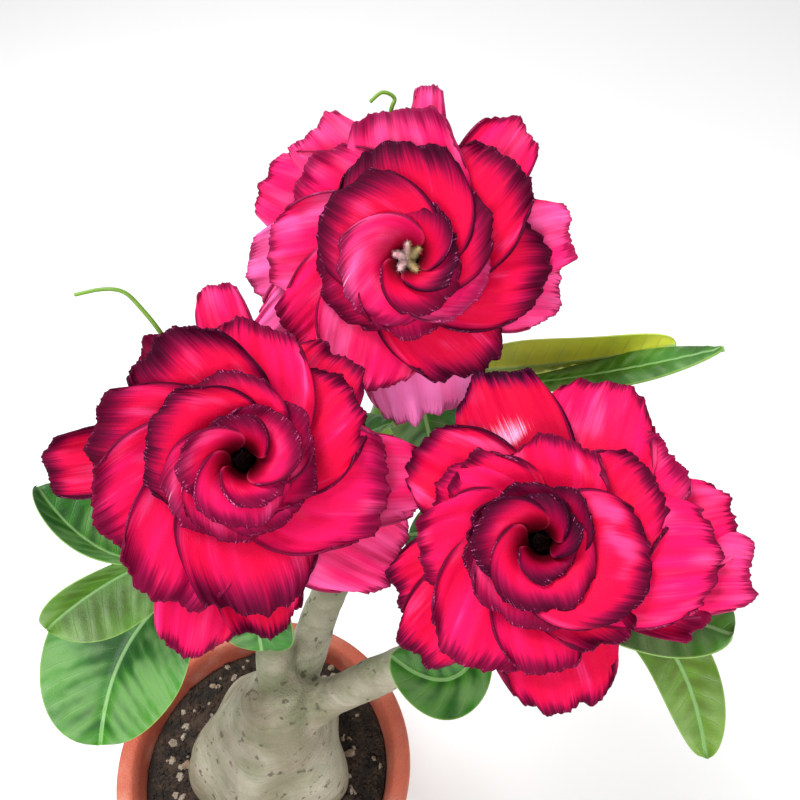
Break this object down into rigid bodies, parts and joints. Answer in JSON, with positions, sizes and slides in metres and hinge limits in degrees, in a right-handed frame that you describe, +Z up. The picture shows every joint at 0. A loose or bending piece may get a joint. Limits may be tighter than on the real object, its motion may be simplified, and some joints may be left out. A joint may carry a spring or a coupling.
{
  "type": "potted desert rose",
  "caption": "Desert rose with large many-layered crimson blooms and glossy leaves on a swollen caudex, growing in a round terracotta pot.",
  "frame": {"origin": "middle of the pot's flat base, on the surface it stands on", "axes": "+Z up along the pot's axis; the blooms face -Y and up, where the picture was taken from; +X is to the right in the picture"},
  "size_m": [0.2197, 0.2089, 0.3607],
  "materials": {
    "terracotta": "unglazed fired clay, matt, with lighter salt bloom",
    "potting_mix": "dark crumbly mix with pale grit",
    "bark": "smooth grey-green bark with fine rings and scars",
    "leaf": "waxy green with pale midrib and veins",
    "petal": "velvety crimson with feathered purple-black margins",
    "calyx": "satin green flushed with red",
    "anther": "cream and pale pink, slightly hairy"
  },
  "bodies": {
    "root": {"pot": "terracotta", "potting_mix": "potting_mix", "caudex": "bark", "leafy_stem_top": "leaf", "leafy_stem_left": "leaf", "leafy_stem_right": "leaf", "bloom_top_petals": "petal", "bloom_left_petals": "petal", "bloom_right_petals": "petal", "calyx_top": "calyx", "calyx_left": "calyx", "calyx_right": "calyx", "anthers_top": "anther", "anthers_left": "anther", "anthers_right": "anther"}
  },
  "joints": []
}
